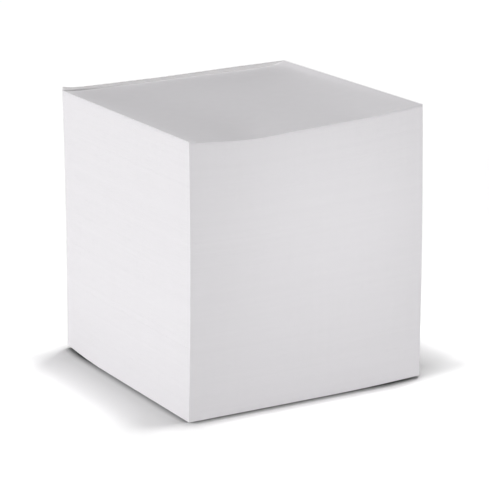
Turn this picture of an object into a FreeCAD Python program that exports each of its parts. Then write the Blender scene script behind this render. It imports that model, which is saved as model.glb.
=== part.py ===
"""Memo cube: a square block of loose white writing sheets, glued together along its rear side.

Millimetres, +Z up. The block stands on its bottom sheet, with the glued side towards +Y.
The origin is on the table, under the middle of the bounding box.
"""

import FreeCAD, Part
import math
import os

Vector = FreeCAD.Vector

# The stack of sheets.
sheet_width = 96.0          # along X
sheet_depth = 96.0          # along Y, from the free front edges to the glued rear ones
sheet_count = 800
sheet_thickness = 0.1255    # one sheet with the air that it traps
stack_bow = 0.5             # how far the middle of the stack stands out towards +X

# The film of padding glue on the rear side.
film_thickness = 0.4

# How the top sheets curl: (share of the width from the left, height over the flat stack).
# The free front edge dips and then climbs to its right corner. The glued edge sags between
# its two corners. The film's rim stands over the glued edge, because sheets were torn off.
front_curl = [(0.0, 0.2), (0.04, -0.5), (0.1, -0.9), (0.2, -1.6), (0.3, -1.7), (0.45, -0.95),
              (0.6, -0.3), (0.75, 0.4), (0.9, 1.7), (1.0, 2.6)]
rear_curl = [(0.0, 0.0), (0.03, -0.5), (0.1, -0.85), (0.5, -0.6), (0.85, -0.35),
             (0.95, 0.2), (1.0, 1.4)]
film_rim = [(0.0, 1.4), (0.03, 0.9), (0.08, 0.6), (0.45, 0.65), (0.7, 1.1), (1.0, 1.45)]

# How two bottom corners lift off the table: the lift's run along the sheet's diagonal, up to
# the corner, and its height there.
left_lift_run = 22.0
left_lift_height = 1.7
right_lift_run = 28.0
right_lift_height = 1.0
lift_dip = 0.02             # the lift's arc starts this far under the table, to cross it cleanly

tool_margin = 3.0           # how far a cutting tool reaches past what it cuts

stack_height = sheet_count * sheet_thickness
profile_height = stack_height + max(height for share, height in front_curl + film_rim) + tool_margin

# The bow stands out on the right and the film on the rear, so the stack's own middle lies
# half of each away from the origin.
stack_left = -(sheet_width + stack_bow) / 2
stack_front = -(sheet_depth + film_thickness) / 2
stack_rear = stack_front + sheet_depth


def bowed_slab(front, depth):
    """A slab of the stack's bowed side-on form, running back from front by depth."""
    left, right = stack_left, stack_left + sheet_width
    corners = [Vector(x, front, z) for x, z in
               ((left, 0), (right, 0), (right, profile_height), (left, profile_height))]
    bow_right = Vector(right + stack_bow, front, profile_height / 2)
    bow_left = Vector(left + stack_bow, front, profile_height / 2)
    edges = [Part.LineSegment(corners[0], corners[1]).toShape(),
             Part.Arc(corners[1], bow_right, corners[2]).toShape(),
             Part.LineSegment(corners[2], corners[3]).toShape(),
             Part.Arc(corners[3], bow_left, corners[0]).toShape()]
    return Part.Face(Part.Wire(edges)).extrude(Vector(0, depth, 0))


def curl_edge(curl, y):
    """The smooth edge at depth y that follows a curl across the sheets' width."""
    inner = [Vector(stack_left + share * sheet_width, y, stack_height + height)
             for share, height in curl]
    first, last = inner[0], inner[-1]
    margin = Vector(tool_margin, 0, 0)
    spline = Part.BSplineCurve()
    spline.interpolate([first - margin] + inner + [last + margin])
    return spline.toShape()


def above_surface(near_curl, near_y, far_curl, far_y):
    """A cutting tool: all that lies over the ruled surface between two curled edges."""
    surface = Part.makeRuledSurface(curl_edge(near_curl, near_y), curl_edge(far_curl, far_y))
    return surface.extrude(Vector(0, 0, 2 * profile_height - stack_height))


def under_corner(side, run, lift):
    """A cutting tool: all that lies under a bottom corner which lifts off the table.

    side is -1 for the left rear corner and +1 for the right front one. The lift follows an
    arc that is level where it starts.
    """
    middle = Vector(stack_left + sheet_width / 2, stack_front + sheet_depth / 2, 0)
    corner = middle + Vector(side * sheet_width / 2, -side * sheet_depth / 2, 0)
    outward = (corner - middle).normalize()
    along = Vector(-outward.y, outward.x, 0)
    rise = lift + lift_dip
    radius = (run ** 2 + rise ** 2) / (2 * rise)
    half_span = sheet_width + sheet_depth

    def at(distance, height):
        return corner + outward * (distance - run) - along * half_span + Vector(0, 0, height)

    def on_arc(distance):
        return at(distance, radius - math.sqrt(radius ** 2 - distance ** 2) - lift_dip)

    reach = run + tool_margin
    edges = [Part.Arc(on_arc(0), on_arc(reach / 2), on_arc(reach)).toShape(),
             Part.LineSegment(on_arc(reach), at(reach, -tool_margin)).toShape(),
             Part.LineSegment(at(reach, -tool_margin), at(0, -tool_margin)).toShape(),
             Part.LineSegment(at(0, -tool_margin), on_arc(0)).toShape()]
    return Part.Face(Part.Wire(edges)).extrude(along * 2 * half_span)


def lifted_corners():
    """The cutting tools of both lifted bottom corners."""
    return [under_corner(-1, left_lift_run, left_lift_height),
            under_corner(1, right_lift_run, right_lift_height)]


def make_sheet_block():
    """All the sheets as one solid, from the bottom one to the curled top one."""
    top = above_surface(front_curl, stack_front, rear_curl, stack_rear)
    return bowed_slab(stack_front, sheet_depth).cut([top] + lifted_corners())


def make_glue_film():
    """The glue on the sheets' rear edges, with the rim that stands over the top sheet."""
    rear = stack_rear + film_thickness
    top = above_surface(film_rim, stack_rear, film_rim, rear)
    return bowed_slab(stack_rear, film_thickness).cut([top] + lifted_corners())


def main():
    os.makedirs("parts", exist_ok=True)
    nodes = {"sheet_block": make_sheet_block(), "glue_film": make_glue_film()}
    for name, shape in nodes.items():
        assert shape.isValid() and len(shape.Solids) == 1, name
        shape.Solids[0].exportStep(f"parts/{name}.step")
        box = shape.BoundBox
        print(name, "faces", len(shape.Faces), "volume", round(shape.Volume, 1),
              "x", round(box.XMin, 3), round(box.XMax, 3), "y", round(box.YMin, 3),
              round(box.YMax, 3), "z", round(box.ZMin, 3), round(box.ZMax, 3))


main()
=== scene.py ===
import math
import random

import bmesh
import bpy
from bpy.props import FloatProperty, FloatVectorProperty, IntProperty, PointerProperty
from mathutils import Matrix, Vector, noise


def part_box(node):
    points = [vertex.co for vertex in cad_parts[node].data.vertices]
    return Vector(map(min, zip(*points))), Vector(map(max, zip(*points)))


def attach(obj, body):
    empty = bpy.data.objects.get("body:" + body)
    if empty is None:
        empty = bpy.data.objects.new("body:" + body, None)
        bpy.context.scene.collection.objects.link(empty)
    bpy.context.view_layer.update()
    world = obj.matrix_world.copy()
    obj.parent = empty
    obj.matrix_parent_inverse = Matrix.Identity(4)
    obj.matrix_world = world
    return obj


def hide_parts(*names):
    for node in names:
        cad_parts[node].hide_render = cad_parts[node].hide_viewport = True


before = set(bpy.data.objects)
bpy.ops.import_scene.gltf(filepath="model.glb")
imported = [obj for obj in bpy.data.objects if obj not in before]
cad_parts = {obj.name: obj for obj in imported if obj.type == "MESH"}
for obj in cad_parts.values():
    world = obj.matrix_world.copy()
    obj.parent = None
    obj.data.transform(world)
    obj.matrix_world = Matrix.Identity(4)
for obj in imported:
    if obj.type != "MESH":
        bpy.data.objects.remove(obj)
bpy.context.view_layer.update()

bl_info = {
    "name": "Memo Cube",
    "version": (1, 0, 0),
    "blender": (4, 5, 0),
    "location": "View3D > Sidebar > Memo Cube",
    "description": "Builds a glued block of loose writing sheets and the studio that it stands in",
    "category": "Add Mesh",
}

MM = 0.001

# How the top sheets curl, as (share of the width from the left, millimetres over the flat stack):
# along the free front edge, along the glued rear edge, and along the rim of the glue film.
FRONT_CURL = ((0.0, 0.2), (0.04, -0.5), (0.1, -0.9), (0.2, -1.6), (0.3, -1.7), (0.45, -0.95),
              (0.6, -0.3), (0.75, 0.4), (0.9, 1.7), (1.0, 2.6))
REAR_CURL = ((0.0, 0.0), (0.03, -0.5), (0.1, -0.85), (0.5, -0.6), (0.85, -0.35),
             (0.95, 0.2), (1.0, 1.4))
FILM_RIM = ((0.0, 1.4), (0.03, 0.9), (0.08, 0.6), (0.45, 0.65), (0.7, 1.1), (1.0, 1.45))

# The stack's plain size, taken from the frame.
STACK_BOW = 0.5 * MM
STACK_LOW, STACK_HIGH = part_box("sheet_block")
FILM_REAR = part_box("glue_film")[1].y
SHEET_WIDTH = STACK_HIGH.x - STACK_LOW.x - STACK_BOW
SHEET_DEPTH = STACK_HIGH.y - STACK_LOW.y
STACK_HEIGHT = STACK_HIGH.z - max(height for share, height in FRONT_CURL) * MM

# How many sheets the block holds.
SHEETS = 800

# How far a sheet's two rings of points lie inside its share of the stack, and how much of that
# share a loose sheet fills.
RING_INSET = 0.03
LOOSE_SHEET_FILL = 0.9

# The curl at which the loose sheets lie furthest apart.
OPEN_CURL = 2.4 * MM

# How far the batches' wander moves on from one sheet to the next.
BATCH_STEP = 0.05

# The share of the way back from which the glue holds a sheet in line.
GLUED_FROM = 0.999

# How finely the pieces are divided, across and back, or across and up for the film.
STACK_CUTS = (15, 11)
LOOSE_SHEET_GRID = (64, 32)
FILM_GRID = (160, 110)

# The seeds of the sheets' random places, in the stack and on top of it.
STACK_SEED = 7
LOOSE_SHEETS_SEED = 11

# How uneven the film's rim is, how often it waves and is nicked across its width, and the height
# over which its lip grows thin.
RIM_WEAR = 0.06 * MM
RIM_WAVES = 14
RIM_NICKS = 45
LIP_TAPER = 0.7 * MM

# How many brush marks there are to a metre across the film, and how often they change going up it.
BRUSH_MARKS_ACROSS = 380
BRUSH_MARKS_UP = 18

# How dark the painted shade is in the seams between the sheets and along the top of the film's lip,
# against the rest.
SEAM_SHADE_TONE = 0.8
LIP_SHADE_TONE = 0.88

# The name of the pieces' own map, which is in metres.
SHEET_MAP = "sheet_map"

# How much further the knife left the free ends of the lowest sheets standing out than those of
# the topmost ones, at each side.
KNIFE_DRAW = 0.7 * MM

# How two bottom corners lift off the table: the run along the sheet's diagonal and the height.
LEFT_LIFT_RUN, LEFT_LIFT_HEIGHT = 22 * MM, 1.7 * MM
RIGHT_LIFT_RUN, RIGHT_LIFT_HEIGHT = 28 * MM, 1.0 * MM


# ---------------------------------------------------------------- settings


class MemoCubeStackSettings(bpy.types.PropertyGroup):
    """Sizes and colour of the stack of sheets."""

    sheet_count: IntProperty(
        name="Sheets", description="Sheets in the whole block", default=SHEETS, min=10)
    loose_count: IntProperty(
        name="Loose top sheets", description="Sheets at the top that are modelled one by one",
        default=6, min=1)
    edge_scatter: FloatProperty(
        name="Edge scatter", description="How far single sheets stand out of line",
        default=0.008 * MM, unit="LENGTH", precision=6)
    batch_scatter: FloatProperty(
        name="Batch scatter", description="How far batches of sheets wander out of line",
        default=0.016 * MM, unit="LENGTH", precision=6)
    fan_gap: FloatProperty(
        name="Fan gap", description="Air between the top sheets where they curl up most",
        default=0.012 * MM, unit="LENGTH", precision=6)
    paper_colour: FloatVectorProperty(
        name="Paper", description="Colour of the sheets' cut edges and faces",
        subtype="COLOR", size=3, default=(0.87, 0.854, 0.877), min=0.0, max=1.0)


class MemoCubeFilmSettings(bpy.types.PropertyGroup):
    """Sizes and colour of the film of padding glue."""

    lip_thickness: FloatProperty(
        name="Lip thickness", description="Thickness of the film where it stands clear",
        default=0.26 * MM, unit="LENGTH", precision=6)
    brush_relief: FloatProperty(
        name="Brush relief", description="Depth of the brush marks in the glue",
        default=0.05 * MM, unit="LENGTH", precision=6)
    glue_colour: FloatVectorProperty(
        name="Glue", description="Colour of the dried padding glue",
        subtype="COLOR", size=3, default=(0.74, 0.73, 0.73), min=0.0, max=1.0)


class MemoCubeStudioSettings(bpy.types.PropertyGroup):
    """The light, the floor and the camera."""

    view_azimuth: FloatProperty(
        name="Azimuth", description="Camera's way round the block, from the front",
        default=math.radians(-30.19), subtype="ANGLE")
    view_elevation: FloatProperty(
        name="Elevation", description="Camera's height over the horizon",
        default=math.radians(15.79), subtype="ANGLE")
    view_distance: FloatProperty(
        name="Distance", description="Camera to its aim", default=0.9409, unit="LENGTH")
    lens: FloatProperty(
        name="Lens", description="Focal length on a 36 mm sensor", default=187.15,
        subtype="DISTANCE_CAMERA")
    ambient: FloatProperty(
        name="Ambient", description="Strength of the even light from all round", default=0.03)
    floor_lift: FloatProperty(
        name="Floor lift", description="How much lighter the floor looks than it lights the block",
        default=2.15)


# ---------------------------------------------------------------- form of the sheets


def on_curve(points, share):
    """The height at a share of the way along, on a smooth curve through the points."""
    last = len(points) - 1
    i = next((n for n in range(last) if share < points[n + 1][0]), last - 1)

    def slope(n):
        before, after = points[max(n - 1, 0)], points[min(n + 1, last)]
        return (after[1] - before[1]) / (after[0] - before[0])

    (x0, y0), (x1, y1) = points[i], points[i + 1]
    run = x1 - x0
    f = (share - x0) / run
    return ((1 + 2 * f) * (1 - f) ** 2 * y0 + f * (1 - f) ** 2 * run * slope(i)
            + f ** 2 * (3 - 2 * f) * y1 - f ** 2 * (1 - f) * run * slope(i + 1))


def curl_height(across, back):
    """How far the top sheet lies over the flat stack."""
    front, rear = on_curve(FRONT_CURL, across), on_curve(REAR_CURL, across)
    return (front + (rear - front) * back) * MM


def corner_lift(across, back):
    """How far the bottom sheet lies over the table, at its left rear and right front corners."""
    diagonal = math.hypot(SHEET_WIDTH, SHEET_DEPTH)
    from_left_rear = (across * SHEET_WIDTH ** 2 + (1 - back) * SHEET_DEPTH ** 2) / diagonal
    from_right_front = diagonal - from_left_rear
    left = max(0.0, 1 - from_left_rear / LEFT_LIFT_RUN) ** 2 * LEFT_LIFT_HEIGHT
    right = max(0.0, 1 - from_right_front / RIGHT_LIFT_RUN) ** 2 * RIGHT_LIFT_HEIGHT
    return left + right


def bow(level):
    """How far the stack stands out to the right at a level from 0 at the table to 1 on top."""
    return 4 * STACK_BOW * level * (1 - level)


def in_stack(across, back, level):
    """The place of a point of a sheet in the curled, bowed stack."""
    spread = KNIFE_DRAW * (0.5 - level) * (1 - back)
    x = STACK_LOW.x + across * SHEET_WIDTH + bow(level) + spread * (2 * across - 1)
    y = STACK_LOW.y + back * SHEET_DEPTH
    z = (level * STACK_HEIGHT + curl_height(across, back) * level ** 2
         + corner_lift(across, back) * (1 - level) ** 3)
    return Vector((x, y, z))


# ---------------------------------------------------------------- bmesh helpers


def edges_along(bm, axis):
    """The edges of a box-shaped bmesh that run along an axis."""
    return [edge for edge in bm.edges
            if abs((edge.verts[0].co - edge.verts[1].co)[axis]) > 0.5 * edge.calc_length()]


def eased(share, strength=0.8):
    """A share of the way along, drawn towards both ends so that the cuts lie closer there."""
    return share + strength * (0.5 - 0.5 * math.cos(math.pi * share) - share)


def finish_piece(name, bm, materials, replaced):
    """Turns a bmesh into a piece that rides on the frame and stands for a CAD node."""
    mesh = bpy.data.meshes.new(name)
    bm.to_mesh(mesh)
    bm.free()
    for material in materials:
        mesh.materials.append(material)
    piece = bpy.data.objects.new(name, mesh)
    bpy.context.scene.collection.objects.link(piece)
    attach(piece, "root")
    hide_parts(replaced)
    return piece


def map_sheets(bm, spots):
    """Lays the sheets' map, in metres, and gives cut edges the first material and faces the second.

    On cut edges the map runs along the sheet and up the flat stack. On a sheet's face it runs
    across and back. spots gives each vertex its across, back and level.
    """
    layer = bm.loops.layers.uv.new(SHEET_MAP)
    for face in bm.faces:
        places = [spots[loop.vert] for loop in face.loops]
        is_edge = len({level for across, back, level in places}) > 1
        runs_back = len({across for across, back, level in places}) == 1
        face.material_index = 0 if is_edge else 1
        for loop, (across, back, level) in zip(face.loops, places):
            if not is_edge:
                loop[layer].uv = (across * SHEET_WIDTH, back * SHEET_DEPTH)
            elif runs_back:
                loop[layer].uv = (back * SHEET_DEPTH, level * STACK_HEIGHT)
            else:
                loop[layer].uv = (across * SHEET_WIDTH, level * STACK_HEIGHT)


def shade_sheets(bm):
    """Shades sheet faces smooth and cut edges flat, with a crisp rim between the two."""
    for face in bm.faces:
        face.smooth = face.material_index == 1
    for edge in bm.edges:
        edge.smooth = len({face.material_index for face in edge.link_faces}) == 1


# ---------------------------------------------------------------- materials


class NodeTree:
    """Builds the nodes of a material or a world."""

    def __init__(self, owner):
        owner.use_nodes = True
        self.owner = owner
        self.tree = owner.node_tree

    def node(self, kind, inputs, **settings):
        """Adds a node, with settings as attributes and inputs as values or sockets."""
        made = self.tree.nodes.new(kind)
        for key, value in settings.items():
            setattr(made, key, value)
        for key, value in inputs.items():
            self.feed(made.inputs[key], value)
        return made

    def feed(self, socket, value):
        """Links a socket to another one, or gives it a value."""
        if isinstance(value, bpy.types.NodeSocket):
            self.tree.links.new(value, socket)
        else:
            socket.default_value = value

    def shade(self, **inputs):
        """Feeds the shader's own sockets, which are named with _ for each space."""
        shader = self.tree.nodes["Principled BSDF"]
        for key, value in inputs.items():
            self.feed(shader.inputs[key.replace("_", " ")], value)

    def sheet_map(self):
        """The piece's own map in metres."""
        return self.node("ShaderNodeUVMap", {}, uv_map=SHEET_MAP).outputs["UV"]

    def place(self):
        """The place on the piece in metres."""
        return self.node("ShaderNodeTexCoord", {}).outputs["Object"]

    def axis(self, vector, name):
        """One axis of a vector."""
        return self.node("ShaderNodeSeparateXYZ", {"Vector": vector}).outputs[name]

    def math(self, operation, *values):
        """The result of a sum on values or sockets."""
        made = self.node("ShaderNodeMath", dict(enumerate(values)), operation=operation)
        return made.outputs["Value"]

    def grains(self, vector, size, detail=2.0):
        """Noise from 0 to 1, with grains of a size in metres along each axis."""
        per_metre = [1 / length for length in size]
        placed = self.node("ShaderNodeMapping", {"Vector": vector, "Scale": per_metre})
        made = self.node("ShaderNodeTexNoise",
                         {"Vector": placed.outputs["Vector"], "Scale": 1.0, "Detail": detail})
        return made.outputs["Fac"]

    def weighed(self, *shares):
        """The sum of values, each times its weight."""
        total = 0.0
        for value, weight in shares:
            total = self.math("MULTIPLY_ADD", value, weight, total)
        return total

    def ramp(self, value, start, end, low=0.0, high=1.0):
        """The value brought from start..end to low..high, and held there beyond it."""
        limits = {"Value": value, "From Min": start, "From Max": end, "To Min": low,
                  "To Max": high}
        return self.node("ShaderNodeMapRange", limits).outputs["Result"]

    def mixed(self, share, first, second):
        """A blend of two colours."""
        made = self.node("ShaderNodeMix", {0: share, 6: first, 7: second}, data_type="RGBA")
        return made.outputs[2]

    def toned(self, colour, value, spread):
        """The colour, darker and lighter by a spread as the value goes from 0 to 1."""
        return self.mixed(value, scaled(colour, 1 - spread), scaled(colour, 1 + spread))

    def end_with(self, output, share, first, second):
        """Ends the nodes in a blend of two shaders."""
        mix = self.node("ShaderNodeMixShader", {0: share, 1: first.outputs[0], 2: second.outputs[0]})
        self.feed(self.tree.nodes[output].inputs["Surface"], mix.outputs[0])

    def bump(self, height, depth):
        """Bump from a height of 0 to 1 over a depth in metres."""
        made = self.node("ShaderNodeBump", {"Height": height, "Distance": depth, "Strength": 1.0})
        return made.outputs["Normal"]


def scaled(colour, factor):
    """A colour times a factor, as RGBA."""
    return [channel * factor for channel in colour] + [1.0]


def cut_edge_paper(settings):
    """The sheets' cut edges: each a shade of its own, with painted shade in the seams and the knife's
    fine marks.
    """
    if "cut_edge_paper" in bpy.data.materials:
        return bpy.data.materials["cut_edge_paper"]
    nodes = NodeTree(bpy.data.materials.new("cut_edge_paper"))
    flat = nodes.sheet_map()
    sheets_up = nodes.math("MULTIPLY", nodes.axis(flat, "Y"), settings.sheet_count / STACK_HEIGHT)
    own_shade = nodes.node("ShaderNodeTexWhiteNoise", {"W": nodes.math("FLOOR", sheets_up)},
                           noise_dimensions="1D").outputs["Value"]
    batches = nodes.grains(flat, (0.4, 0.003, 1.0), detail=4.0)
    knife = nodes.grains(flat, (0.0009, 0.07, 1.0), detail=3.0)
    grain = nodes.grains(flat, (0.00025, 0.00009, 1.0))
    tone = nodes.weighed((own_shade, 0.12), (batches, 0.26), (knife, 0.22), (grain, 0.4))
    # Painted shade: a thin dark band at each seam between sheets, in the colour, for the shade that
    # falls in the gap.
    from_seam = nodes.math("PINGPONG", sheets_up, 0.5)
    sheet = nodes.ramp(from_seam, 0.0, 0.1)
    seam_shade_colour = scaled(settings.paper_colour, SEAM_SHADE_TONE)
    paper = nodes.toned(settings.paper_colour, tone, 0.07)
    nodes.shade(Base_Color=nodes.mixed(sheet, seam_shade_colour, paper),
                Roughness=0.88, Specular_IOR_Level=0.2,
                Normal=nodes.bump(nodes.weighed((sheet, 0.5), (grain, 0.35), (knife, 0.4)),
                                  0.012 * MM))
    return nodes.owner


def sheet_face_paper(settings):
    """The face of a sheet: faint clouds in the pulp and a fine, even tooth."""
    if "sheet_face_paper" in bpy.data.materials:
        return bpy.data.materials["sheet_face_paper"]
    nodes = NodeTree(bpy.data.materials.new("sheet_face_paper"))
    place = nodes.place()
    clouds = nodes.grains(place, (0.004, 0.004, 0.004), detail=4.0)
    fibres = nodes.grains(place, (0.0007, 0.00016, 0.0005), detail=3.0)
    tooth = nodes.grains(place, (0.0001, 0.0001, 0.0001), detail=2.0)
    tone = nodes.weighed((clouds, 0.4), (fibres, 0.3), (tooth, 0.3))
    nodes.shade(Base_Color=nodes.toned(settings.paper_colour, tone, 0.05),
                Roughness=nodes.ramp(fibres, 0.2, 0.8, 0.78, 0.9), Specular_IOR_Level=0.25,
                Normal=nodes.bump(nodes.weighed((fibres, 0.5), (tooth, 0.5)), 0.008 * MM))
    return nodes.owner


def padding_glue(settings):
    """Dried padding glue: milky and a little shiny, with brush marks, the sheets' edges showing, and
    painted shade darkening the top of its lip.
    """
    nodes = NodeTree(bpy.data.materials.new("padding_glue"))
    place = nodes.place()
    strokes = nodes.grains(place, (0.0022, 0.01, 0.05), detail=4.0)
    bristles = nodes.grains(place, (0.0004, 0.01, 0.02), detail=2.0)
    clouds = nodes.grains(place, (0.011, 0.01, 0.008), detail=3.0)
    below_rim = nodes.axis(nodes.sheet_map(), "Y")
    sheets_up = nodes.math("DIVIDE", nodes.axis(place, "Z"), STACK_HEIGHT / SHEETS)
    ribs = nodes.math("PINGPONG", sheets_up, 1.0)
    tone = nodes.weighed((strokes, 0.45), (bristles, 0.2), (clouds, 0.35))
    glue = nodes.toned(settings.glue_colour, tone, 0.09)
    # Painted shade: the glue's colour darkens towards the top of the lip, for the shade there.
    body = nodes.ramp(below_rim, 0.0, LIP_TAPER)
    lip_shade_colour = scaled(settings.glue_colour, LIP_SHADE_TONE)
    nodes.shade(Base_Color=nodes.mixed(body, lip_shade_colour, glue),
                Roughness=nodes.ramp(strokes, 0.3, 0.7, 0.34, 0.52), Specular_IOR_Level=0.4,
                Normal=nodes.bump(nodes.weighed((strokes, 0.6), (bristles, 0.4), (ribs, 0.12)),
                                  0.035 * MM))
    return nodes.owner


# ---------------------------------------------------------------- the stack


class MEMOCUBE_OT_sheet_stack(bpy.types.Operator):
    """Builds the glued stack, each sheet with its own cut edge"""

    bl_idname = "memo_cube.sheet_stack"
    bl_label = "Sheet Stack"

    def execute(self, context):
        settings = context.scene.memo_cube_stack
        random.seed(STACK_SEED)
        sheets = settings.sheet_count - settings.loose_count
        bm = bmesh.new()
        bmesh.ops.create_cube(bm, size=1.0)
        bmesh.ops.translate(bm, verts=bm.verts, vec=(0.5, 0.5, 0.5))
        for axis, cuts in enumerate((*STACK_CUTS, 2 * sheets - 2)):
            bmesh.ops.subdivide_edges(
                bm, edges=edges_along(bm, axis), cuts=cuts, use_grid_fill=True)
        map_sheets(bm, self.cut_edges(bm, settings, sheets))
        shade_sheets(bm)
        finish_piece("sheet_stack", bm, (cut_edge_paper(settings), sheet_face_paper(settings)),
                     "sheet_block")
        return {"FINISHED"}

    def cut_edges(self, bm, settings, sheets):
        """Gives each sheet its two rings of points, and moves them into the curled stack.

        Returns each vertex's across, back and level.
        """
        spots = {}
        steps = 2 * sheets - 1
        thickness = 1.0 / settings.sheet_count
        offsets = []
        for sheet in range(sheets):
            wander = noise.noise_vector((sheet * BATCH_STEP, 3.1, 0.7)) * settings.batch_scatter
            single = [random.gauss(0, settings.edge_scatter) for side in range(4)]
            offsets.append((wander, single))
        for vert in bm.verts:
            across, back = eased(vert.co.x), eased(vert.co.y)
            ring = round(vert.co.z * steps)
            sheet, upper = ring // 2, ring % 2
            level = (sheet + (1 - RING_INSET if upper else RING_INSET)) * thickness
            if ring == 0:
                level = 0.0
            spots[vert] = (across, back, level)
            wander, single = offsets[sheet]
            place = in_stack(across, back, level)
            place.x += wander.x + single[0] + single[1] * (back - 0.5)
            if back < GLUED_FROM:
                place.y += (1 - back) * (wander.y + single[2]) + single[3] * (across - 0.5)
            vert.co = place
        return spots


class MEMOCUBE_OT_loose_sheets(bpy.types.Operator):
    """Builds the curled sheets on top, one by one"""

    bl_idname = "memo_cube.loose_sheets"
    bl_label = "Loose Top Sheets"

    def execute(self, context):
        settings = context.scene.memo_cube_stack
        random.seed(LOOSE_SHEETS_SEED)
        bm = bmesh.new()
        spots = {}
        for below_top in range(settings.loose_count):
            spots.update(self.add_sheet(bm, settings, below_top))
        map_sheets(bm, spots)
        shade_sheets(bm)
        finish_piece("loose_sheets", bm, (cut_edge_paper(settings), sheet_face_paper(settings)),
                     "sheet_block")
        return {"FINISHED"}

    def add_sheet(self, bm, settings, below_top):
        """One sheet: a fine grid, laid into the stack and given its thickness.

        Returns each vertex's across, back and level.
        """
        columns, rows = LOOSE_SHEET_GRID
        upper = bmesh.ops.create_grid(bm, x_segments=columns, y_segments=rows, size=0.5)["verts"]
        bmesh.ops.translate(bm, verts=upper, vec=(0.5, 0.5, 0))
        bm.faces.index_update()
        faces = sorted({face for vert in upper for face in vert.link_faces},
                       key=lambda face: face.index)
        made = bmesh.ops.extrude_face_region(bm, geom=faces)
        lower = [part for part in made["geom"] if isinstance(part, bmesh.types.BMVert)]
        level = 1 - below_top / settings.sheet_count
        thickness = STACK_HEIGHT / settings.sheet_count * LOOSE_SHEET_FILL
        shift = Vector((random.gauss(0, settings.edge_scatter),
                        random.gauss(0, settings.edge_scatter), 0))
        spots = {}
        for verts, depth in ((upper, 0.0), (lower, thickness)):
            for vert in verts:
                across, back = eased(vert.co.x), eased(vert.co.y)
                spots[vert] = (across, back, level - depth / STACK_HEIGHT)
                place = in_stack(across, back, level)
                open_share = max(0.0, curl_height(across, back)) / OPEN_CURL
                place.z -= below_top * settings.fan_gap * open_share + depth
                vert.co = place + shift * (1 - back)
        bmesh.ops.recalc_face_normals(bm, faces=bm.faces)
        return spots


class MEMOCUBE_OT_glue_film(bpy.types.Operator):
    """Builds the film of padding glue on the rear side, with the lip that stands over the top sheet"""

    bl_idname = "memo_cube.glue_film"
    bl_label = "Glue Film"

    def execute(self, context):
        settings = context.scene.memo_cube_film
        bm = bmesh.new()
        columns, rows = FILM_GRID
        front = bmesh.ops.create_grid(bm, x_segments=columns, y_segments=rows, size=0.5)["verts"]
        bmesh.ops.translate(bm, verts=front, vec=(0.5, 0.5, 0))
        made = bmesh.ops.extrude_face_region(bm, geom=bm.faces[:])
        rear = [part for part in made["geom"] if isinstance(part, bmesh.types.BMVert)]
        below_rim = {}
        for verts, is_rear in ((front, False), (rear, True)):
            for vert in verts:
                across, up = vert.co.x, eased(vert.co.y)
                rim = self.rim_height(across)
                foot = corner_lift(across, 1.0)
                height = foot + (rim - foot) * up
                below_rim[vert] = (across * SHEET_WIDTH, rim - height)
                vert.co = self.place(across, height, settings, is_rear)
        layer = bm.loops.layers.uv.new(SHEET_MAP)
        for face in bm.faces:
            face.smooth = True
            for loop in face.loops:
                loop[layer].uv = below_rim[loop.vert]
        bmesh.ops.recalc_face_normals(bm, faces=bm.faces)
        finish_piece("padding_film", bm, (padding_glue(settings),), "glue_film")
        return {"FINISHED"}

    def rim_height(self, across):
        """The height of the film's rim, a little uneven where sheets were torn off."""
        waves = noise.noise((across * RIM_WAVES, 2.3, 0.6))
        nicks = noise.noise((across * RIM_NICKS, 7.1, 0.2))
        wear = waves + 0.5 * nicks
        return STACK_HEIGHT + on_curve(FILM_RIM, across) * MM + wear * RIM_WEAR

    def place(self, across, height, settings, is_rear):
        """A point of the film: its front lies on the sheets, and its rear is brushed."""
        x = STACK_LOW.x + across * SHEET_WIDTH + bow(min(height / STACK_HEIGHT, 1.0))
        y = STACK_HIGH.y
        if is_rear:
            mark = noise.noise((x * BRUSH_MARKS_ACROSS, 0.4, height * BRUSH_MARKS_UP))
            clear = min(1.0, max(0.0, height - STACK_HEIGHT) / LIP_TAPER)
            full = FILM_REAR - STACK_HIGH.y - settings.brush_relief
            y += full + (settings.lip_thickness - full) * clear + mark * settings.brush_relief
        return Vector((x, y, height))


# ---------------------------------------------------------------- the studio

# How much of the light the floor gives back.
FLOOR_TONE = 0.8
# The painted shade at the block's foot and the faint one around it, darkening the floor's colour on
# top of the lamps' shadow, each before the block, to its left and to its right: how far it reaches,
# and its tone where it is darkest.
CONTACT_REACH = (4 * MM, 3 * MM, 5 * MM)
CONTACT_SHADE = (0.3, 0.55, 0.25)
WIDE_REACH = (10 * MM, 25 * MM, 30 * MM)
WIDE_SHADE = (0.25, 0.45, 0.2)
# The darkest tone of both shades at a corner that lifts off the table.
LIFTED_CONTACT_SHADE = 0.75
LIFTED_WIDE_SHADE = 0.5
# How open the floor is at the block's foot, and the rays by which that is found.
FOOT_OPEN = 0.5
SHADE_SAMPLES = 16
# The tones turn from those before the block to those beside it over a band. It reaches this far
# inside and outside the block's outline, and at the front it eases out a little further either way.
BAND_INSIDE = 2 * MM
BAND_OUTSIDE = 4 * MM
BAND_EASE = 4 * MM
# How far the floor reaches from its middle.
FLOOR_REACH = 4.0
# Soft far lamps, four low ones round the block and three overhead: name, azimuth, elevation and
# softness in degrees, strength.
FAR_LAMPS = (
    ("key_left_front", -60, 2, 5, 2.45),
    ("fill_front", 0, 2, 5, 0.3),
    ("fill_right", 90, 2, 5, 0.9),
    ("fill_rear", 180, 2, 5, 1.5),
    ("overhead_left", -90, 75, 8, 0.55),
    ("overhead_right", 90, 78, 8, 0.65),
    ("overhead_rear", 120, 70, 8, 0.5),
)
# The soft spot before the block, which leaves a faint glow on its front: where it hangs and what it
# aims at, its cone, its power in watts and its bulb's radius.
SPOT_PLACE = Vector((100, -750, 70)) * MM
SPOT_AIM = Vector((10, -48, 70)) * MM
SPOT_CONE = math.radians(10)
SPOT_POWER = 2.4
SPOT_RADIUS = 30 * MM
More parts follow.
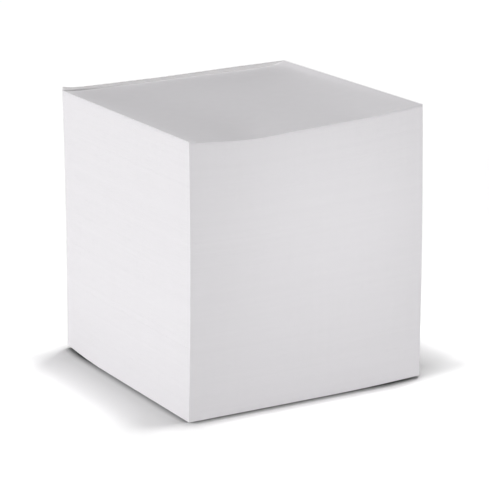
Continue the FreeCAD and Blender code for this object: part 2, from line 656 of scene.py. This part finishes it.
# What the camera aims at, and how wide its sensor is in millimetres.
CAMERA_AIM = Vector((1.39, -1.16, 45.88)) * MM
SENSOR_WIDTH = 36.0


def seen_from(azimuth, elevation):
    """The direction from the block to something at an azimuth and an elevation in radians."""
    return Vector((math.sin(azimuth) * math.cos(elevation),
                   -math.cos(azimuth) * math.cos(elevation), math.sin(elevation)))


def beside_block(nodes, place):
    """Two values that go from 0 to 1 beside the block: one on its left, one on its right."""
    across, back = nodes.axis(place, "X"), nodes.axis(place, "Y")
    near, far = SHEET_WIDTH / 2 - BAND_INSIDE, SHEET_WIDTH / 2 + BAND_OUTSIDE
    level = nodes.ramp(back, -far - BAND_EASE, -near + BAND_EASE)
    return (nodes.math("MULTIPLY", nodes.ramp(across, -near, -far), level),
            nodes.math("MULTIPLY", nodes.ramp(across, near, far), level))


def at_lifted_corners(nodes, place):
    """1 on the floor at the block's two lifted corners, down to 0 halfway along their lift."""
    left_rear = (STACK_LOW.x, STACK_HIGH.y, 0)
    right_front = (STACK_HIGH.x, STACK_LOW.y, 0)
    shares = []
    for corner, run in ((left_rear, LEFT_LIFT_RUN), (right_front, RIGHT_LIFT_RUN)):
        away = nodes.node("ShaderNodeVectorMath", {0: place, 1: corner}, operation="DISTANCE")
        shares.append(nodes.ramp(away.outputs["Value"], 0.0, run / 2, 1.0, 0.0))
    return nodes.math("ADD", *shares)


def by_side(nodes, sides, values):
    """The first value before the block, the second to its left and the third to its right."""
    left, right = sides
    before, at_left, at_right = values
    return nodes.ramp(right, 0.0, 1.0, nodes.ramp(left, 0.0, 1.0, before, at_left), at_right)


def shut_out(nodes, sides, lifted, reach, darkest, lifted_darkest):
    """A shade from its darkest at the block's foot to 1 at its reach, where light gets in.

    reach and darkest hold one value for each side. lifted_darkest holds at the lifted corners.
    """
    shut = nodes.node("ShaderNodeAmbientOcclusion", {"Distance": by_side(nodes, sides, reach)},
                      samples=SHADE_SAMPLES)
    foot = nodes.ramp(lifted, 0.0, 1.0, by_side(nodes, sides, darkest), lifted_darkest)
    return nodes.ramp(shut.outputs["AO"], FOOT_OPEN, 1.0, foot, 1.0)


def seen_ray(nodes):
    """1 for a ray that shows the scene, straight, mirrored or through glass, and 0 for others."""
    path = nodes.node("ShaderNodeLightPath", {}).outputs
    straight_or_mirrored = nodes.math("MAXIMUM", path["Is Camera Ray"], path["Is Glossy Ray"])
    return nodes.math("MAXIMUM", straight_or_mirrored, path["Is Transmission Ray"])


def floor_white(settings):
    """White to the camera, with the block's shadow kept and a painted shade round its foot, and plain
    pale grey to the block.
    """
    nodes = NodeTree(bpy.data.materials.new("floor_white"))
    nodes.tree.nodes.remove(nodes.tree.nodes["Principled BSDF"])
    place = nodes.place()
    sides = beside_block(nodes, place)
    lifted = at_lifted_corners(nodes, place)
    # Painted shade: both shades darken the floor's colour round the block's foot, as the camera sees
    # it.
    contact = shut_out(nodes, sides, lifted, CONTACT_REACH, CONTACT_SHADE, LIFTED_CONTACT_SHADE)
    around = shut_out(nodes, sides, lifted, WIDE_REACH, WIDE_SHADE, LIFTED_WIDE_SHADE)
    shade = nodes.math("MULTIPLY", contact, around)
    lifted_tone = nodes.math("MULTIPLY", shade, FLOOR_TONE * settings.floor_lift)
    shown = nodes.node("ShaderNodeBsdfDiffuse", {"Color": lifted_tone})
    plain = nodes.node("ShaderNodeBsdfDiffuse", {"Color": (FLOOR_TONE, FLOOR_TONE, FLOOR_TONE, 1)})
    nodes.end_with("Material Output", seen_ray(nodes), plain, shown)
    return nodes.owner


class MEMOCUBE_OT_studio(bpy.types.Operator):
    """Sets up the white floor, the soft light and the camera"""

    bl_idname = "memo_cube.studio"
    bl_label = "Studio"

    def execute(self, context):
        settings = context.scene.memo_cube_studio
        self.lay_floor(context.scene, settings)
        self.light_world(context.scene, settings)
        for name, azimuth, elevation, softness, strength in FAR_LAMPS:
            self.hang_far_lamp(name, azimuth, elevation, softness, strength)
        self.hang_spot()
        self.aim_camera(context.scene, settings)
        context.scene.view_settings.view_transform = "Standard"
        return {"FINISHED"}

    def lay_floor(self, scene, settings):
        """A wide white floor under the block."""
        bm = bmesh.new()
        bmesh.ops.create_grid(bm, x_segments=1, y_segments=1, size=FLOOR_REACH)
        mesh = bpy.data.meshes.new("floor")
        bm.to_mesh(mesh)
        bm.free()
        floor = bpy.data.objects.new("floor", mesh)
        scene.collection.objects.link(floor)
        mesh.materials.append(floor_white(settings))

    def light_world(self, scene, settings):
        """Even light from all round, and white where the camera looks past the floor."""
        nodes = NodeTree(bpy.data.worlds.new("studio_air"))
        air = nodes.tree.nodes["Background"]
        nodes.feed(air.inputs["Color"], (1, 1, 1, 1))
        nodes.feed(air.inputs["Strength"], settings.ambient)
        white = nodes.node("ShaderNodeBackground", {"Color": (1, 1, 1, 1)})
        nodes.end_with("World Output", seen_ray(nodes), air, white)
        scene.world = nodes.owner

    def hang_far_lamp(self, name, azimuth, elevation, softness, strength):
        """A lamp far away, whose light is even over the whole floor."""
        lamp = bpy.data.lights.new(name, "SUN")
        lamp.energy = strength
        lamp.angle = math.radians(softness)
        holder = bpy.data.objects.new(name, lamp)
        direction = seen_from(math.radians(azimuth), math.radians(elevation))
        holder.location = direction
        holder.rotation_euler = (-direction).to_track_quat("-Z", "Y").to_euler()
        bpy.context.scene.collection.objects.link(holder)

    def hang_spot(self):
        """The soft spot near the block, which fades from its middle to its rim."""
        lamp = bpy.data.lights.new("spot_front", "SPOT")
        lamp.energy = SPOT_POWER
        lamp.spot_size = SPOT_CONE
        lamp.spot_blend = 1.0
        lamp.shadow_soft_size = SPOT_RADIUS
        holder = bpy.data.objects.new("spot_front", lamp)
        holder.location = SPOT_PLACE
        holder.rotation_euler = (SPOT_AIM - SPOT_PLACE).to_track_quat("-Z", "Y").to_euler()
        bpy.context.scene.collection.objects.link(holder)

    def aim_camera(self, scene, settings):
        """The camera, before the block, a little to its left and above it."""
        data = bpy.data.cameras.new("camera")
        data.sensor_width = SENSOR_WIDTH
        data.lens = settings.lens
        camera = bpy.data.objects.new("camera", data)
        back = seen_from(settings.view_azimuth, settings.view_elevation)
        camera.location = CAMERA_AIM + back * settings.view_distance
        camera.rotation_euler = back.to_track_quat("Z", "Y").to_euler()
        scene.collection.objects.link(camera)
        scene.camera = camera


class MEMOCUBE_PT_panel(bpy.types.Panel):
    """Sizes, colours and build steps of the memo cube"""

    bl_idname = "MEMOCUBE_PT_panel"
    bl_label = "Memo Cube"
    bl_space_type = "VIEW_3D"
    bl_region_type = "UI"
    bl_category = "Memo Cube"

    def draw(self, context):
        layout = self.layout
        for settings in (context.scene.memo_cube_stack, context.scene.memo_cube_film,
                         context.scene.memo_cube_studio):
            column = layout.column(align=True)
            for name in settings.__annotations__:
                column.prop(settings, name)
        for operator in BUILD_STEPS:
            layout.operator(operator.bl_idname)


SETTINGS = {
    "memo_cube_stack": MemoCubeStackSettings,
    "memo_cube_film": MemoCubeFilmSettings,
    "memo_cube_studio": MemoCubeStudioSettings,
}
BUILD_STEPS = (MEMOCUBE_OT_sheet_stack, MEMOCUBE_OT_loose_sheets, MEMOCUBE_OT_glue_film,
               MEMOCUBE_OT_studio)
CLASSES = (*SETTINGS.values(), *BUILD_STEPS, MEMOCUBE_PT_panel)


def register():
    for cls in CLASSES:
        bpy.utils.register_class(cls)
    for name, cls in SETTINGS.items():
        setattr(bpy.types.Scene, name, PointerProperty(type=cls))


def unregister():
    for name in SETTINGS:
        delattr(bpy.types.Scene, name)
    for cls in reversed(CLASSES):
        bpy.utils.unregister_class(cls)


def main():
    """Builds every piece and the studio."""
    register()
    bpy.ops.memo_cube.sheet_stack()
    bpy.ops.memo_cube.loose_sheets()
    bpy.ops.memo_cube.glue_film()
    bpy.ops.memo_cube.studio()


if __name__ == "__main__":
    main()
